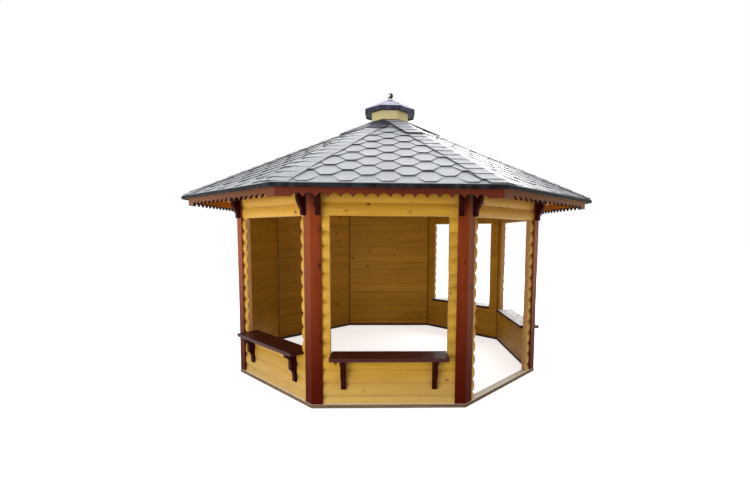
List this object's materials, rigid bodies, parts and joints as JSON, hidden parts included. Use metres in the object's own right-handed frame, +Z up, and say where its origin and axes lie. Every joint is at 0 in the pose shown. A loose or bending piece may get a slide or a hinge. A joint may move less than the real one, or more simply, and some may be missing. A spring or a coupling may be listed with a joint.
{
  "type": "octagonal timber garden gazebo",
  "caption": "Octagonal log-board garden gazebo with open entrance, sill windows, shingled pyramid roof and small cupola with ball finial.",
  "frame": {"origin": "centre of the octagon, on the ground under the base ring", "axes": "+Z up; the open entrance faces -Y; +X to the right seen from the entrance"},
  "size_m": [4.6472, 4.6472, 3.578],
  "materials": {
    "weathered_timber": "weathered grey-beige sawn timber",
    "pine_log_boards": "clear-coated knotty pine, satin",
    "pine_roof_timber": "planed knotty pine, amber, satin",
    "pine_cupola_boards": "clear-coated pine, satin",
    "red_stained_wood": "mahogany red-brown glaze, satin",
    "dark_stained_wood": "dark maroon-brown glaze, satin",
    "dark_sheet_metal": "blue-black painted sheet, semi-gloss",
    "silver_sheet_metal": "dull silver sheet",
    "pale_block": "pale painted wood block",
    "polished_ball": "polished metal ball",
    "roof_shingles": "light grey mineral-faced bitumen shingles"
  },
  "bodies": {
    "root": {"base_ring": "weathered_timber", "wall_back_right": "pine_log_boards", "wall_back": "pine_log_boards", "wall_back_left": "pine_log_boards", "wall_below_window_front_right": "pine_log_boards", "window_jambs_front_right": "pine_log_boards", "window_header_front_right": "pine_log_boards", "window_sill_front_right": "dark_stained_wood", "wall_below_window_right": "pine_log_boards", "window_jambs_right": "pine_log_boards", "window_header_right": "pine_log_boards", "window_sill_right": "dark_stained_wood", "wall_below_window_left": "pine_log_boards", "window_jambs_left": "pine_log_boards", "window_header_left": "pine_log_boards", "window_sill_left": "dark_stained_wood", "wall_below_window_front_left": "pine_log_boards", "window_jambs_front_left": "pine_log_boards", "window_header_front_left": "pine_log_boards", "window_sill_front_left": "dark_stained_wood", "entrance_jambs": "pine_log_boards", "entrance_header": "pine_log_boards", "sill_brackets": "dark_stained_wood", "corner_board_front_to_front_right": "red_stained_wood", "corner_board_front_right_to_right": "red_stained_wood", "corner_board_right_to_back_right": "red_stained_wood", "corner_board_back_right_to_back": "red_stained_wood", "corner_board_back_to_back_left": "red_stained_wood", "corner_board_back_left_to_left": "red_stained_wood", "corner_board_left_to_front_left": "red_stained_wood", "corner_board_front_left_to_front": "red_stained_wood", "eave_brackets": "dark_stained_wood", "wall_plate": "pine_roof_timber", "hip_rafters": "pine_roof_timber", "roof_hub": "pine_roof_timber", "roof_deck": "pine_roof_timber", "fascia": "red_stained_wood", "drip_edge": "dark_sheet_metal", "roof_apron": "dark_sheet_metal", "cupola_drum": "pine_cupola_boards", "cupola_roof": "silver_sheet_metal", "finial_block": "pale_block", "finial_ball": "polished_ball"}
  },
  "joints": []
}
